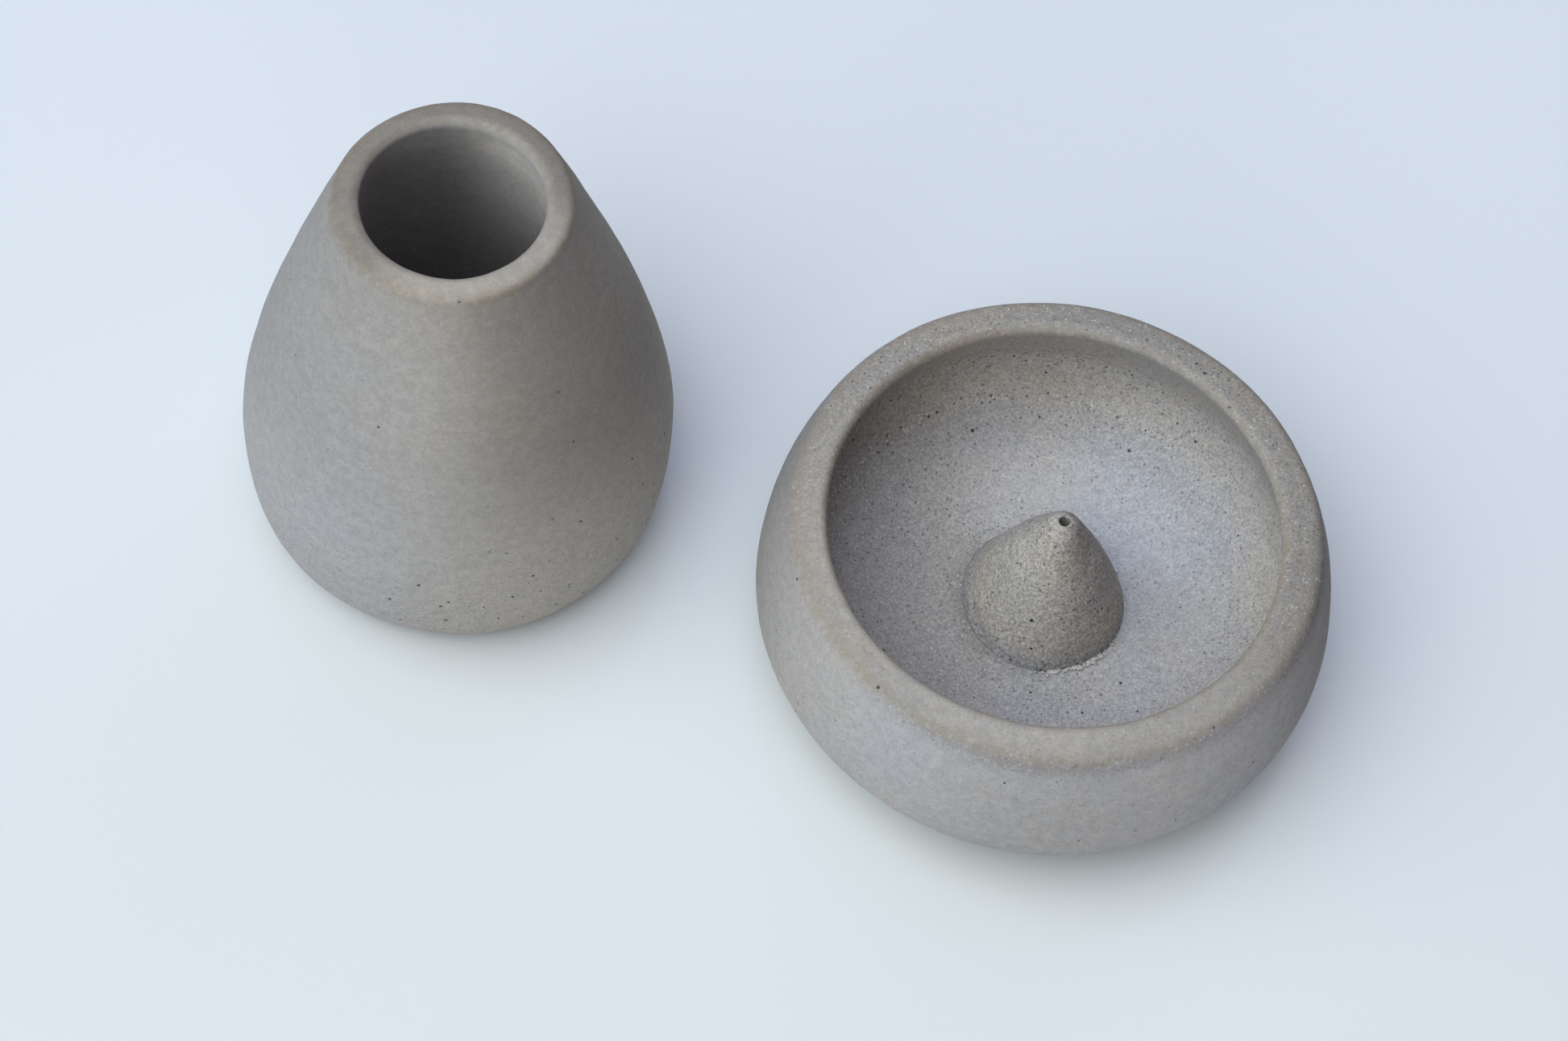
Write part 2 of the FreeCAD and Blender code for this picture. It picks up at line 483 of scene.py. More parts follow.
# Painted tint of the light inside the bowl: warmer on its shaded left, and cooler towards the back
# right, under the painted bluish sheen
BOWL_HOLLOW_PAINTED_TINT = ((180, 0.2, 0.9, 0.30), (45, 0.7, 0.99, -0.42), (270, 0.3, 0.95, 0.06))
BOWL_RIM_GRAIN = ((75, -0.6, 0.5, 0.75),)
BOWL_EDGE_GRAIN = ((305, -0.2, 0.6, 0.8),)
BOWL_FLOOR_GRAIN = ((40, -0.2, 0.7, -0.25),)
BOWL_TEARS = ((108, 0.3, 0.9, 0.75),)
# Painted shade in the crease on the cone's left
CREASE_PAINTED_SHADE = ((205, -0.3, 0.7, 0.22),)
CREASE_PALE = ((335, 0.2, 0.9, 0.07),)
# Painted light on the vessel's rim, paler towards its front right
VESSEL_RIM_PAINTED_LIGHT = ((303, 0.2, 0.85, 0.42),)
# Painted light on the right of the vessel's lining, where light falls in through the mouth
VESSEL_LINING_PAINTED_LIGHT = ((12, -0.1, 0.8, 0.80),)
# Painted shade up the vessel's outside, a little on its left and most of all on its right
VESSEL_OUTSIDE_PAINTED_SHADE = ((190, 0.2, 0.9, -0.10), (350, 0.1, 0.8, -0.25))
# Painted tint of the light: the vessel's right side warmer, its left a little cooler
VESSEL_OUTSIDE_PAINTED_TINT = ((350, -0.3, 0.8, 0.64), (195, 0.2, 0.9, -0.06))
VESSEL_PITTING = ((318, 0.2, 0.85, 5.5),)
# Painted light on the cone's left, painted shade on its right
CONE_PAINTED_SHADING = ((200, -0.2, 0.8, 0.20), (15, -0.1, 0.9, -0.16))
# Painted shade round the cone's foot, most on its left and front right
CONE_FOOT_SIDE_PAINTED_SHADE = ((200, -0.3, 0.6, -0.24), (305, 0.5, 0.9, -0.14))
CONE_TEARS = ((295, 0.6, 0.95, 1.0),)
SLIP_SPREADING = ((195, -0.4, 0.8, 0.8),)
SLIP_LEAST_SPREADING = 0.2

# The same all round: how warm the clay is and what each surface adds to that, how pale each surface
# is, much of it painted light and shade, how pitted it is, and how plain its grain is at least
PLAIN_WARMTH = 0.30
BOWL_HOLLOW_WARMER = 0.57
BOWL_RIM_WARMER = 0.36
BOWL_FLOOR_WARMER = 0.15
# Painted light: the bowl's floor is made paler all round
BOWL_FLOOR_PAINTED_LIGHT = 0.05
BOWL_RIM_LEAST_GRAIN = 0.40
BOWL_LEAST_GRAIN = 0.35
BOWL_LEAST_TEARS = 0.25
BOWL_PITTED = 0.15
BOWL_INSIDE_PITTED = 0.20
VESSEL_SHOULDER_WARMER = 0.22
VESSEL_RIM_WARMER = 0.28
# Painted shade: the vessel's rim darker all round, but for its painted light in front
VESSEL_RIM_PAINTED_SHADE = -0.28
# Painted shade on the vessel's lining all round
VESSEL_LINING_PAINTED_SHADE = -0.20
# Painted light low on the vessel's wall, and painted shade up its neck
VESSEL_FOOT_PAINTED_LIGHT = 0.11
VESSEL_NECK_PAINTED_SHADE = -0.05
VESSEL_GRAIN = 0.34
VESSEL_LOW_GRAIN = 0.45
VESSEL_PITTED = 0.04
CONE_WARMTH = 0.76
# Painted shade at the cone's foot: cooler and darker all round
CONE_FOOT_PAINTED_COOL_SHADE = 0.68
CONE_FOOT_PAINTED_SHADE = -0.09
CONE_TIP_TONE = -0.11
CONE_PITTED = 0.8

# Heights where the turning tool tore grains out inside
BOWL_TEAR_HEIGHTS = (27.5 * MM, 25.3 * MM, 19.0 * MM)
VESSEL_TEAR_HEIGHTS = (45.0 * MM,)


def towards(angle, azimuth, low, high):
    """From 0 to 1 as a direction turns towards an azimuth, in degrees."""
    return float(smooth((math.cos(angle - math.radians(azimuth)) - low) / (high - low)))


def shades(angle, table):
    return sum(amount * towards(angle, azimuth, low, high) for azimuth, low, high, amount in table)


def rising(height, start, length):
    """From 0 to 1 over a length of the height, in mm."""
    return smooth((height / MM - start) / length)


def bowl_marks(outline, values):
    """Painted light and shade: paler on the rim's front and darker on its right and back, darker
    along the front of its outer edge and on the wall's right and back, and pale on the floor, with
    a painted sheen towards its back, but for the painted shade in the crease round the cone. Warmer
    and cooler sides are a painted tint of the light. The grain is plainest inside, on the rim's
    back and along the front of the outer edge, and torn out in rows across the back."""
    top, inside = values["top"], values["inside"]
    lining = inside * (1 - top)
    outside = 1 - np.maximum(inside, top)
    band = outer_band(outline, BOWL)
    height = outline[:, 1]
    floor = (1 - rising(height, 11, 5)) * inside
    hollow = rising(height, 13, 9) * lining
    rows = torn_rings(outline, BOWL, BOWL_TEAR_HEIGHTS, 0.8 * MM)

    def marks(angle, i):
        floor_painted_shading = BOWL_FLOOR_PAINTED_LIGHT + shades(angle, BOWL_FLOOR_PAINTED_SHEEN_AND_SHADE)
        tone = 1 + top[i] * shades(angle, BOWL_RIM_PAINTED_SHADING)
        tone += band[i] * shades(angle, BOWL_EDGE_PAINTED_SHADE)
        tone += outside[i] * shades(angle, BOWL_OUTSIDE_PAINTED_SHADING)
        tone += hollow[i] * shades(angle, BOWL_HOLLOW_PAINTED_SHADING)
        tone += floor[i] * (floor_painted_shading + crease_painted_shade_and_pale(outline[i][0], angle))
        warm = PLAIN_WARMTH + outside[i] * shades(angle, BOWL_OUTSIDE_PAINTED_TINT)
        warm += lining[i] * shades(angle, BOWL_HOLLOW_PAINTED_TINT) + BOWL_HOLLOW_WARMER * hollow[i]
        warm += BOWL_RIM_WARMER * top[i] + BOWL_FLOOR_WARMER * floor[i]
        crisp = max(
            lining[i] * (1 + floor[i] * shades(angle, BOWL_FLOOR_GRAIN)),
            top[i] * (BOWL_RIM_LEAST_GRAIN + shades(angle, BOWL_RIM_GRAIN)),
            band[i] * shades(angle, BOWL_EDGE_GRAIN),
            BOWL_LEAST_GRAIN,
        )
        torn = rows[i] * (BOWL_LEAST_TEARS + shades(angle, BOWL_TEARS))
        return tone, warm, crisp, torn, BOWL_PITTED + BOWL_INSIDE_PITTED * inside[i]

    return marks


def crease_painted_shade_and_pale(radius, angle):
    """On the floor round the cone: painted shade, darker on its left, and paler on its right."""
    across = radius * math.cos(angle) - CONE_OFFSET[0]
    along = radius * math.sin(angle) - CONE_OFFSET[1]
    beside = math.hypot(across, along) - CONE_BASE_RADIUS
    side = math.atan2(along, across)
    pale = bell(beside - 1.5 * MM, 2.5 * MM) * shades(side, CREASE_PALE)
    return pale - bell(beside, 2.8 * MM) * shades(side, CREASE_PAINTED_SHADE)


def vessel_marks(outline, values):
    """Painted light and shade: paler low on the wall and darker up it, most of all on its right,
    darker on the rim's back and left, and paler inside on the right; warmer outside on the right, a
    painted tint of the light; and pitted low down in front."""
    top, inside = values["top"], values["inside"]
    outside = 1 - np.maximum(inside, top)
    height = outline[:, 1]
    wall_painted_shading = VESSEL_FOOT_PAINTED_LIGHT * (1 - rising(height, 15, 50))
    wall_painted_shading += VESSEL_NECK_PAINTED_SHADE * rising(height, 74, 19)
    upper = rising(height, 25, 35)
    shoulder = rising(height, 50, 40)
    low = 1 - rising(height, 12, 34)
    below_lip = smooth((VESSEL.mouth[1] - 0.8 * MM - height) / (2.5 * MM))
    lining = inside * (1 - top) * below_lip
    rows = torn_rings(outline, VESSEL, VESSEL_TEAR_HEIGHTS, 0.7 * MM)

    def marks(angle, i):
        tone = 1 + top[i] * (VESSEL_RIM_PAINTED_SHADE + shades(angle, VESSEL_RIM_PAINTED_LIGHT))
        tone += lining[i] * (VESSEL_LINING_PAINTED_SHADE + shades(angle, VESSEL_LINING_PAINTED_LIGHT))
        tone += outside[i] * (wall_painted_shading[i] + upper[i] * shades(angle, VESSEL_OUTSIDE_PAINTED_SHADE))
        warm = PLAIN_WARMTH + outside[i] * shades(angle, VESSEL_OUTSIDE_PAINTED_TINT)
        warm += VESSEL_SHOULDER_WARMER * shoulder[i] + VESSEL_RIM_WARMER * top[i]
        crisp = VESSEL_GRAIN + VESSEL_LOW_GRAIN * low[i]
        pitted = VESSEL_PITTED + outside[i] * low[i] * shades(angle, VESSEL_PITTING)
        return tone, warm, crisp, rows[i], pitted

    return marks


# ---------------------------------------------------------------------------------------------
# Materials: one procedural stoneware, tuned for each piece
# ---------------------------------------------------------------------------------------------


class Nodes:
    """Short calls for building a material's node tree."""

    def __init__(self, name):
        self.material = bpy.data.materials.new(name)
        self.material.use_nodes = True
        self.tree = self.material.node_tree
        self.tree.nodes.clear()

    def add(self, kind, **settings):
        node = self.tree.nodes.new(kind)
        for key, value in settings.items():
            setattr(node, key, value)
        return node

    def join(self, source, target):
        self.tree.links.new(source, target)

    def feed(self, socket, value):
        """Sets a socket to a number or a colour, or joins an output to it."""
        if isinstance(value, (int, float)):
            socket.default_value = value
        elif isinstance(value, tuple):
            socket.default_value = (*value, 1)
        else:
            self.join(value, socket)

    def math(self, operation, a, b=0.0, c=0.0, clamp=False):
        node = self.add("ShaderNodeMath", operation=operation, use_clamp=clamp)
        for socket, value in zip(node.inputs, (a, b, c)):
            self.feed(socket, value)
        return node.outputs[0]

    def step(self, value, low, high, to_low=0.0, to_high=1.0):
        """Smoothly from to_low to to_high as the value goes from low to high."""
        node = self.add("ShaderNodeMapRange", interpolation_type="SMOOTHSTEP")
        for socket, given in zip(node.inputs, (value, low, high, to_low, to_high)):
            self.feed(socket, given)
        return node.outputs[0]

    def blend(self, kind, share, a, b):
        node = self.add("ShaderNodeMix", data_type="RGBA", blend_type=kind)
        self.feed(node.inputs[0], share)
        self.feed(node.inputs[6], a)
        self.feed(node.inputs[7], b)
        return node.outputs[2]

    def attribute(self, name, output="Fac"):
        return self.add("ShaderNodeAttribute", attribute_name=name).outputs[output]

    def millimetres(self):
        """The point in the object's own space, in millimetres."""
        place = self.add("ShaderNodeTexCoord").outputs["Object"]
        scaled = self.add("ShaderNodeVectorMath", operation="SCALE")
        self.join(place, scaled.inputs[0])
        scaled.inputs["Scale"].default_value = 1 / MM
        return scaled.outputs[0]

    def shifted(self, place, seed):
        """The place moved far along a diagonal, so that each seed has its own pattern."""
        node = self.add("ShaderNodeVectorMath", operation="ADD")
        self.join(place, node.inputs[0])
        node.inputs[1].default_value = (31.7 * seed, 17.3 * seed, 23.9 * seed)
        return node.outputs[0]

    def noise(self, place, size, detail, rough, seed):
        node = self.add("ShaderNodeTexNoise", noise_dimensions="3D")
        self.join(self.shifted(place, seed), node.inputs["Vector"])
        node.inputs["Scale"].default_value = 1 / size
        node.inputs["Detail"].default_value = detail
        node.inputs["Roughness"].default_value = rough
        return node.outputs[0]

    def cells(self, place, size, seed):
        """Distance to the nearest cell's middle, in cell sizes, and two random numbers per cell."""
        node = self.add("ShaderNodeTexVoronoi", voronoi_dimensions="3D", feature="F1")
        self.join(self.shifted(place, seed), node.inputs["Vector"])
        node.inputs["Scale"].default_value = 1 / size
        split = self.add("ShaderNodeSeparateColor")
        self.join(node.outputs["Color"], split.inputs[0])
        return node.outputs["Distance"], split.outputs[0], split.outputs[1]


# A clay's two body colours and how far clouds of them part, how often it has pinholes, whether
# grains were torn out in rings, its pattern's seed, how strong its grains and its sandiness are,
# and whether its mesh has marks, painted light and shade among them
Clay = namedtuple("Clay", "body warm clouds pits ring_pits seed grain contrast toned")

BODY_GREY = (0.350, 0.334, 0.318)
WARM_TAN = (0.366, 0.336, 0.304)
COOL_GREY = (0.326, 0.328, 0.330)
CONE_TAN = (0.388, 0.352, 0.312)
RIM_SHADE = (0.910, 0.902, 0.860)
COOL_TINT = (0.95, 1.0, 1.12)
WARM_TINT = (1.040, 1.003, 0.925)
LAVENDER_TINT = (0.965, 0.965, 0.985)
PEACH_TINT = (1.045, 1.02, 0.985)
OCHRE = (0.298, 0.256, 0.210)
PALE_GRAIN = (0.56, 0.54, 0.50)
PALE_CLAY = (0.49, 0.465, 0.43)
DARK_GRAIN = (0.105, 0.095, 0.085)
# Painted shade: the near-black inside the pinholes, pits and torn holes
PIT_PAINTED_SHADE = (0.045, 0.040, 0.036)
ROUGHNESS = 0.78
ROUGHNESS_SPREAD = 0.08
SPECULAR = 0.36
INSIDE_SMOOTHER = 0.26

# The sizes of the clay's patterns, in mm, and how far sand, blotches and turning streaks change
# its shade
CLOUD_SIZE = 16.0
DRIFT_SIZE = 38.0
SAND_SIZE = 0.55
BLOTCH_SIZE = 1.9
MOTTLE_SIZE = 2.4
OCHRE_SIZE = 2.0
LUMP_SIZE = 1.3
STREAK_SIZE = 1.5
STREAK_STRETCH = (3.0, 3.0, 1.0)
SAND_DARKER = 0.26
SAND_PALER = 0.27
BLOTCH = 0.065
STREAK = 0.015

# Spots in the clay: the size in mm of the cells that they lie in, what sets their pattern apart,
# the share of the cells that have none, unless the clay gives it, and the radii, in cells, at
# which they are solid and gone
Spots = namedtuple("Spots", "size apart without solid gone")
PALE_SPOTS = Spots(0.62, 1, 0.86, 0.20, 0.42)
DARK_SPOTS = Spots(0.70, 2, 0.84, 0.18, 0.40)
RUSTY_SPOTS = Spots(0.95, 4, 0.90, 0.18, 0.40)
PINHOLES = Spots(3.4, 5, None, 0.045, 0.085)
LARGER_PITS = Spots(2.6, 6, None, 0.06, 0.13)
TORN_HOLES = Spots(1.15, 8, 0.40, 0.12, 0.27)
TORN_CRUMBS = Spots(1.0, 9, 0.30, 0.16, 0.34)
RUSTY_STRENGTH = 0.7

# How far each stands out of the surface, in mm, and the strength of them all
SAND_RISE = 0.10
LUMP_RISE = 0.10
STREAK_RISE = 0.03
PALE_RISE = 0.05
DARK_RISE = -0.06
HOLE_RISE = -0.40
BUMP_STRENGTH = 0.9


def stoneware(name, clay):
    """Unglazed, fine sandy stoneware: a mottled body, fine light, dark and ochre grains, scattered
    pinholes painted near-black as painted shade, faint turning streaks and a warmer, browner halo
    along a rim's edges, with the painted light, shade and tint that a mesh's marks give."""
    n = Nodes(name)
    place = n.millimetres()
    spin = n.attribute("spin", "Vector")
    streak_space = n.add("ShaderNodeVectorMath", operation="MULTIPLY")
    n.join(spin, streak_space.inputs[0])
    streak_space.inputs[1].default_value = STREAK_STRETCH
    streaks = n.noise(streak_space.outputs[0], STREAK_SIZE, 3, 0.6, clay.seed)

    clouds = n.noise(place, CLOUD_SIZE, 3, 0.55, clay.seed)
    drift = n.noise(place, DRIFT_SIZE, 2, 0.5, clay.seed + 3)
    half = 0.5 * clay.clouds
    cloudy = n.step(clouds, 0.38, 0.66, 0.5 - half, 0.5 + half)
    colour = n.blend("MIX", cloudy, clay.body, clay.warm)
    colour = n.blend("MIX", n.step(drift, 0.45, 0.70, 0.0, 0.6 * clay.clouds), colour, COOL_GREY)

    sand = n.noise(place, SAND_SIZE, 3, 0.75, clay.seed + 7)
    darkest, palest = 1 - SAND_DARKER * clay.contrast, 1 + SAND_PALER * clay.contrast
    crisp = n.attribute("crisp") if clay.toned else 1.0
    colour = n.blend("MULTIPLY", crisp, colour, grey(n, n.step(sand, 0.30, 0.70, darkest, palest)))
    blotches = n.noise(place, BLOTCH_SIZE, 2, 0.6, clay.seed + 15)
    blotchy = n.step(blotches, 0.3, 0.7, 1 - BLOTCH, 1 + BLOTCH)
    colour = n.blend("MULTIPLY", 1.0, colour, grey(n, blotchy))
    mottle = n.noise(place, MOTTLE_SIZE, 2, 0.6, clay.seed + 17)
    mottled = n.blend("MIX", n.step(mottle, 0.36, 0.64), LAVENDER_TINT, PEACH_TINT)
    mottle_share = n.math("MULTIPLY_ADD", n.attribute("top"), 0.6, 0.4 * clay.clouds, clamp=True)
    colour = n.blend("MULTIPLY", mottle_share, colour, mottled)
    streaky = n.step(streaks, 0.35, 0.65, 1 - STREAK, 1 + STREAK)
    colour = n.blend("MULTIPLY", 1.0, colour, grey(n, streaky))

    patches = n.step(n.noise(place, OCHRE_SIZE, 4, 0.75, clay.seed + 11), 0.36, 0.62)
    patchy = n.math("MULTIPLY_ADD", patches, 0.75, 0.14)
    ochre_share = n.math("MULTIPLY", n.attribute("edge"), patchy, clamp=True)
    colour = n.blend("MIX", ochre_share, colour, OCHRE)
    colour = n.blend("MULTIPLY", n.attribute("top"), colour, RIM_SHADE)
    if clay.toned:
        # The mesh's marks: painted light and shade, then a warm or cool tint that is partly the
        # clay's own colour and partly a painted tint of the light
        colour = n.blend("MULTIPLY", 1.0, colour, grey(n, n.attribute("tone")))
        tint = n.blend("MIX", n.attribute("warm"), COOL_TINT, WARM_TINT)
        colour = n.blend("MULTIPLY", 1.0, colour, tint)

    pale = speckles(n, place, clay.seed, PALE_SPOTS)
    dark = speckles(n, place, clay.seed, DARK_SPOTS)
    rusty = speckles(n, place, clay.seed, RUSTY_SPOTS)
    grain = n.math("MULTIPLY", crisp, clay.grain)
    colour = n.blend("MIX", n.math("MULTIPLY", pale, grain), colour, PALE_GRAIN)
    colour = n.blend("MIX", n.math("MULTIPLY", dark, grain), colour, DARK_GRAIN)
    rusty_share = n.math("MULTIPLY", n.math("MULTIPLY", rusty, grain), RUSTY_STRENGTH)
    colour = n.blend("MIX", rusty_share, colour, OCHRE)

    pinholes = speckles(n, place, clay.seed, PINHOLES, 1 - clay.pits)
    often = n.math("MULTIPLY", n.attribute("pitted"), clay.pits)
    larger = speckles(n, place, clay.seed, LARGER_PITS, n.math("SUBTRACT", 1.0, often))
    holes = n.math("MAXIMUM", pinholes, larger)
    if clay.ring_pits:
        lines = n.attribute("torn")
        torn = speckles(n, place, clay.seed, TORN_HOLES)
        holes = n.math("MAXIMUM", holes, n.math("MULTIPLY", torn, lines))
        crumbs = speckles(n, place, clay.seed, TORN_CRUMBS)
        colour = n.blend("MIX", n.math("MULTIPLY", crumbs, lines), colour, PALE_GRAIN)
    # The pits and torn holes are coloured near-black, painted shade inside them
    colour = n.blend("MIX", holes, colour, PIT_PAINTED_SHADE)

    shader = n.add("ShaderNodeBsdfPrincipled")
    n.join(colour, shader.inputs["Base Color"])
    roughest, smoothest = ROUGHNESS + ROUGHNESS_SPREAD, ROUGHNESS - ROUGHNESS_SPREAD
    rough = n.step(sand, 0.3, 0.7, roughest, smoothest)
    rough = n.math("MULTIPLY_ADD", n.attribute("inside"), -INSIDE_SMOOTHER, rough)
    n.join(rough, shader.inputs["Roughness"])
    shader.inputs["Specular IOR Level"].default_value = SPECULAR

    lumps = n.noise(place, LUMP_SIZE, 2, 0.6, clay.seed + 13)
    height = n.math("MULTIPLY", sand, SAND_RISE)
    height = n.math("MULTIPLY_ADD", lumps, LUMP_RISE, height)
    height = n.math("MULTIPLY_ADD", streaks, STREAK_RISE, height)
    height = n.math("MULTIPLY_ADD", pale, PALE_RISE, height)
    height = n.math("MULTIPLY_ADD", dark, DARK_RISE, height)
    height = n.math("MULTIPLY_ADD", holes, HOLE_RISE, height)
    bump = n.add("ShaderNodeBump")
    n.feed(bump.inputs["Strength"], n.math("MULTIPLY", crisp, BUMP_STRENGTH))
    bump.inputs["Distance"].default_value = MM
    n.join(height, bump.inputs["Height"])
    n.join(bump.outputs[0], shader.inputs["Normal"])
    output = n.add("ShaderNodeOutputMaterial")
    n.join(shader.outputs[0], output.inputs[0])
    return n.material


def grey(n, value):
    """A number as a grey colour."""
    node = n.add("ShaderNodeCombineColor")
    for socket in node.inputs:
        n.join(value, socket)
    return node.outputs[0]


def speckles(n, place, seed, spots, without=None):
    """Round spots of different sizes, in all but the given share of the cells."""
    distance, chance, bigness = n.cells(place, spots.size, seed + spots.apart)
    chosen = n.math("GREATER_THAN", chance, spots.without if without is None else without)
    scaled = n.math("DIVIDE", distance, n.math("MULTIPLY_ADD", bigness, 0.8, 0.6))
    spot = n.step(scaled, spots.solid, spots.gone, 1.0, 0.0)
    return n.math("MULTIPLY", spot, chosen)


def table_top():
    """A glossy pale table that gives a faint mirror image, and is a little warmer towards the
    front, a painted tint of the light there."""
    n = Nodes("table_top")
    place = n.millimetres()
    shader = n.add("ShaderNodeBsdfPrincipled")
    split = n.add("ShaderNodeSeparateXYZ")
    n.join(place, split.inputs[0])
    back = n.step(split.outputs["Y"], TABLE_FRONT / MM, TABLE_BACK / MM)
    colour = n.blend("MIX", back, TABLE_FRONT_PAINTED_WARM_TINT, TABLE_COLOUR)
    n.join(colour, shader.inputs["Base Color"])
    shader.inputs["Roughness"].default_value = TABLE_ROUGHNESS
    output = n.add("ShaderNodeOutputMaterial")
    n.join(shader.outputs[0], output.inputs[0])
    return n.material


# ---------------------------------------------------------------------------------------------
# The pieces
# ---------------------------------------------------------------------------------------------


def node_centre(node):
    low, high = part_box(node)
    return Vector((0.5 * (low[0] + high[0]), 0.5 * (low[1] + high[1]), 0.0))


def finish_piece(piece, body, material):
    piece.data.materials.append(material)
    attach(piece, body)


# How far from a rim's corners an outline's stations are closer together
RIM_FINE_REACH = 8 * MM


def pot_spacing(pot, wide, fine):
    """Wide spacing on the walls, and fine round the rim's edges."""

    def spacing(radius, height):
        near = min(
            math.hypot(radius - pot.rim[0], height - pot.rim[1]),
            math.hypot(radius - pot.mouth[0], height - pot.mouth[1]),
        )
        return fine + (wide - fine) * min(1.0, near / RIM_FINE_REACH)

    return spacing


def make_bowl():
    outline = resampled(pot_outline(BOWL), pot_spacing(BOWL, 1.0 * MM, 0.35 * MM))
    values = pot_values(outline, BOWL)
    relief = pot_relief(outline, BOWL, offset=1.7, inside_rings=1.0)
    marks = bowl_marks(outline, values)
    drift = mouth_drift(outline, BOWL, BOWL_MOUTH_OFFSET)
    centre = node_centre("bowl")
    piece = turned_mesh("bowl_clay", outline, 380, centre, relief, values, marks, drift)
    clay = Clay(
        body=BODY_GREY,
        warm=WARM_TAN,
        clouds=0.7,
        pits=0.20,
        ring_pits=True,
        seed=10.0,
        grain=0.65,
        contrast=1.0,
        toned=True,
    )
    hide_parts("bowl")
    finish_piece(piece, "bowl_body", stoneware("bowl_stoneware", clay))


def make_vessel():
    outline = resampled(pot_outline(VESSEL), pot_spacing(VESSEL, 1.1 * MM, 0.35 * MM))
    values = pot_values(outline, VESSEL)
    relief = pot_relief(outline, VESSEL, offset=4.1, inside_rings=0.8)
    marks = vessel_marks(outline, values)
    centre = node_centre("vessel")
    piece = turned_mesh("vessel_clay", outline, 340, centre, relief, values, marks)
    clay = Clay(
        body=BODY_GREY,
        warm=WARM_TAN,
        clouds=0.4,
        pits=0.16,
        ring_pits=True,
        seed=40.0,
        grain=0.40,
        contrast=0.80,
        toned=True,
    )
    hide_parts("vessel")
    finish_piece(piece, "vessel_body", stoneware("vessel_stoneware", clay))


# How the cone's clay stands off its true outline: oval towards its foot, and in soft and fine
# lumps (height, size, and a number that sets the pattern apart), which fade out at its tip
CONE_OVAL = 0.30 * MM
CONE_OVAL_TURN = 0.9
CONE_SOFT = (0.25 * MM, 9 * MM, 3.3)
CONE_FINE = (0.13 * MM, 1.8 * MM, 8.8)
CONE_TIP_FADE = 6 * MM


def make_cone():
    low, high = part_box("cone")
    hole = next(m for m in frame["record"]["mounts"] if m["name"] == "stick_hole")
    hole_radius = hole["dims"]["r_mm"] * MM
    centre = Vector((hole["pos_m"][0], hole["pos_m"][1], 0.0))
    bottom = low[2]
    top = high[2] + CONE_NOSE_RADIUS - math.sqrt(CONE_NOSE_RADIUS**2 - hole_radius**2)
    outline = resampled(cone_outline(bottom, top, hole_radius), lambda r, h: 0.32 * MM)
    values = {
        "along": outline_lengths(outline) / MM,
        "edge": 0.35 * bell(outline[:, 1] - top, 1.5 * MM),
        "top": np.zeros(len(outline)),
        "inside": np.zeros(len(outline)),
    }

    def relief(point, angle, i):
        if outline[i][0] < 1.5 * hole_radius:
            return 0.0
        below_tip = top - point.z
        oval = CONE_OVAL * math.cos(2 * (angle + CONE_OVAL_TURN)) * below_tip / (top - bottom)
        soft = CONE_SOFT[0] * smooth_noise(point, *CONE_SOFT[1:])
        fine = CONE_FINE[0] * smooth_noise(point, *CONE_FINE[1:])
        spread = SLIP_SPREAD * (SLIP_LEAST_SPREADING + shades(angle, SLIP_SPREADING))
        foot = spread * float(np.clip(1 - (point.z - bottom) / SLIP_HEIGHT, 0, 1)) ** 2
        return oval + soft * min(1.0, below_tip / CONE_TIP_FADE) + fine + foot

    def marks(angle, i):
        radius, height = outline[i]
        foot = bell(height - bottom, 2.8 * MM) * (radius > 5 * MM)
        tip = float(rising(height - top, -14, 12))
        # Painted light on the cone's left, painted shade on its right and round its foot, a cooler
        # painted shade at the foot, and darker towards the tip
        tone = 1 + shades(angle, CONE_PAINTED_SHADING) + CONE_TIP_TONE * tip
        tone += foot * (CONE_FOOT_PAINTED_SHADE + shades(angle, CONE_FOOT_SIDE_PAINTED_SHADE))
        warm = CONE_WARMTH - CONE_FOOT_PAINTED_COOL_SHADE * foot
        return tone, warm, 1.0, foot**6 * shades(angle, CONE_TEARS), CONE_PITTED

    piece = turned_mesh("cone_clay", outline, 300, centre, relief, values, marks)
    clay = Clay(
        body=CONE_TAN,
        warm=WARM_TAN,
        clouds=1.0,
        pits=0.16,
        ring_pits=True,
        seed=70.0,
        grain=0.8,
        contrast=1.5,
        toned=True,
    )
    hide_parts("cone")
    finish_piece(piece, "bowl_body", stoneware("cone_stoneware", clay))


def make_crumbs():
    """Crumbs of slip: a crease of them in front of the cone, and a few behind it on the left."""
    axis = node_centre("cone")
    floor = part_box("cone")[0][2]
    dice = random.Random(SEED)
    verts, faces = [], []
    for first, last, near, far, count, size in CRUMBS:
        for _ in range(count):
            angle = math.radians(dice.uniform(first, last))
            radius = CONE_BASE_RADIUS + dice.uniform(near, far) * MM
            across, along = radius * math.cos(angle), radius * math.sin(angle)
            place = axis + Vector((across, along, floor + CRUMB_LIFT))
            add_crumb(verts, faces, place, dice.uniform(0.5, 1.0) * size * MM, dice)
    mesh = bpy.data.meshes.new("slip_crumbs")
    mesh.from_pydata(verts, [], faces)
    mesh.shade_smooth()
    piece = bpy.data.objects.new("slip_crumbs", mesh)
    bpy.context.scene.collection.objects.link(piece)
    clay = Clay(
        body=PALE_CLAY,
        warm=PALE_CLAY,
        clouds=0.0,
        pits=0.05,
        ring_pits=False,
        seed=95.0,
        grain=0.5,
        contrast=1.0,
        toned=False,
    )
    finish_piece(piece, "bowl_body", stoneware("crumb_stoneware", clay))


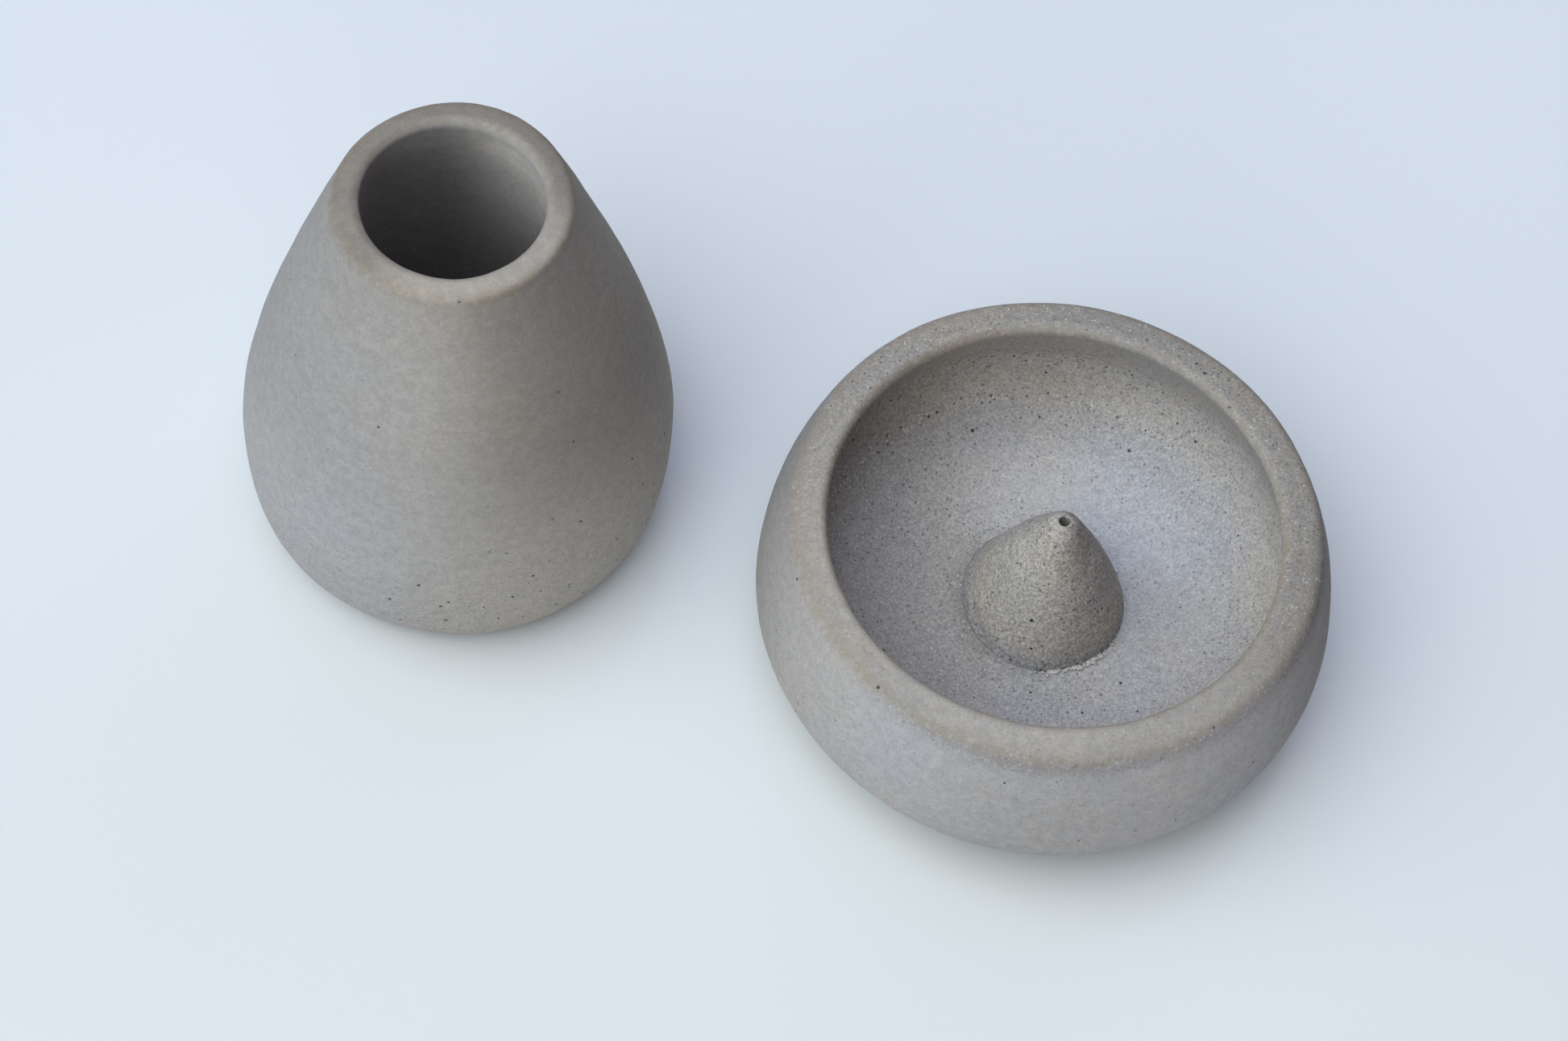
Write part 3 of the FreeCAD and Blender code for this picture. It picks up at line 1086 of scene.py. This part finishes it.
def add_crumb(verts, faces, place, size, dice):
    """One lump, as a small sphere knocked out of shape."""
    rows, around = 5, 8
    stretch = Vector((dice.uniform(0.7, 1.5), dice.uniform(0.7, 1.3), dice.uniform(0.5, 0.8)))
    spin = Matrix.Rotation(dice.uniform(0, TAU), 3, "Z")
    seed = Vector((dice.uniform(-9, 9), dice.uniform(-9, 9), dice.uniform(-9, 9)))
    directions = [Vector((0, 0, 1))]
    for i in range(1, rows):
        polar = math.pi * i / rows
        out, up = math.sin(polar), math.cos(polar)
        for j in range(around):
            angle = TAU * j / around
            directions.append(Vector((out * math.cos(angle), out * math.sin(angle), up)))
    directions.append(Vector((0, 0, -1)))
    first = len(verts)
    for direction in directions:
        reach = 0.5 * size * (1 + 0.45 * noise.noise(direction * 1.4 + seed))
        lump = Vector(a * b for a, b in zip(direction, stretch)) * reach
        verts.append(place + spin @ lump)
    last = len(verts) - 1
    bottom = last - around
    for j in range(around):
        k = (j + 1) % around
        faces.append((first, first + 1 + j, first + 1 + k))
        faces.append((last, bottom + k, bottom + j))
        for i in range(rows - 2):
            upper = first + 1 + i * around
            lower = upper + around
            faces.append((upper + j, lower + j, lower + k, upper + k))


# ---------------------------------------------------------------------------------------------
# Table, light and camera
# ---------------------------------------------------------------------------------------------

TABLE_SIDE = 8.0
TABLE_COLOUR = (0.712, 0.744, 0.754)
# Painted tint of the light: the table is warmer towards the front
TABLE_FRONT_PAINTED_WARM_TINT = (0.724, 0.742, 0.720)
TABLE_FRONT = -150 * MM
TABLE_BACK = 100 * MM
TABLE_ROUGHNESS = 0.14

# Soft round lights, far enough off to fall away only a little across the table: the direction
# they stand in (azimuth, elevation), their apparent width, and how much light they give
ROOM_COLOUR = (0.084, 0.067, 0.104)
LIGHT_DISTANCE = 3.0
LIGHTS = {
    "high_window": (225, 70, 60, (1.22, 1.33, 1.44)),
    "window": (208, 49, 76, (1.62, 1.74, 1.68)),
    "low_front": (272, 12, 28, (0.46, 0.49, 0.49)),
    "back_wall": (60, 12, 30, (0.27, 0.28, 0.20)),
    "ceiling": (82, 61, 56, (0.33, 0.39, 0.58)),
}

# The camera looks at its target from the front. Its lens and sensor are in mm.
LENS = 81.01
SENSOR = 36.0
CAMERA_ELEVATION = math.radians(59.64)
CAMERA_ROLL = math.radians(7.02)
CAMERA_DISTANCE = 0.70224
CAMERA_TARGET = Vector((-0.05069, 0.01825, 0.0))


def make_table():
    half = 0.5 * TABLE_SIDE
    corners = [(-half, -half, 0), (half, -half, 0), (half, half, 0), (-half, half, 0)]
    mesh = bpy.data.meshes.new("table")
    mesh.from_pydata(corners, [], [(0, 1, 2, 3)])
    table = bpy.data.objects.new("table", mesh)
    bpy.context.scene.collection.objects.link(table)
    table.data.materials.append(table_top())


def make_lights():
    world = bpy.data.worlds.new("soft_room")
    bpy.context.scene.world = world
    world.use_nodes = True
    background = world.node_tree.nodes["Background"]
    background.inputs["Color"].default_value = (*ROOM_COLOUR, 1)
    for name, (azimuth, elevation, width, colour) in LIGHTS.items():
        radius = LIGHT_DISTANCE * math.tan(math.radians(0.5 * width))
        lamp = bpy.data.lights.new(name, "AREA")
        lamp.shape = "DISK"
        lamp.size = 2 * radius
        lamp.energy = max(colour) * math.pi * (radius**2 + LIGHT_DISTANCE**2)
        lamp.color = [part / max(colour) for part in colour]
        light = bpy.data.objects.new(name, lamp)
        around, up = math.radians(azimuth), math.radians(elevation)
        off = Vector(
            (math.cos(up) * math.cos(around), math.cos(up) * math.sin(around), math.sin(up))
        )
        light.location = CAMERA_TARGET + off * LIGHT_DISTANCE
        light.rotation_euler = (-off).to_track_quat("-Z", "Y").to_euler()
        bpy.context.scene.collection.objects.link(light)


def make_camera():
    data = bpy.data.cameras.new("camera")
    data.sensor_width = SENSOR
    data.lens = LENS
    data.clip_start = 0.01
    data.clip_end = 30.0
    look = Vector((0.0, math.cos(CAMERA_ELEVATION), -math.sin(CAMERA_ELEVATION)))
    right = Vector((1.0, 0.0, 0.0))
    up = right.cross(look)
    across = right * math.cos(CAMERA_ROLL) + up * math.sin(CAMERA_ROLL)
    above = up * math.cos(CAMERA_ROLL) - right * math.sin(CAMERA_ROLL)
    camera = bpy.data.objects.new("camera", data)
    axes = Matrix((across, above, -look)).transposed().to_4x4()
    camera.matrix_world = Matrix.Translation(CAMERA_TARGET - look * CAMERA_DISTANCE) @ axes
    bpy.context.scene.collection.objects.link(camera)
    bpy.context.scene.camera = camera


random.seed(SEED)
make_camera()
make_bowl()
make_cone()
make_crumbs()
make_vessel()
make_table()
make_lights()
bpy.context.scene.view_settings.view_transform = "Standard"
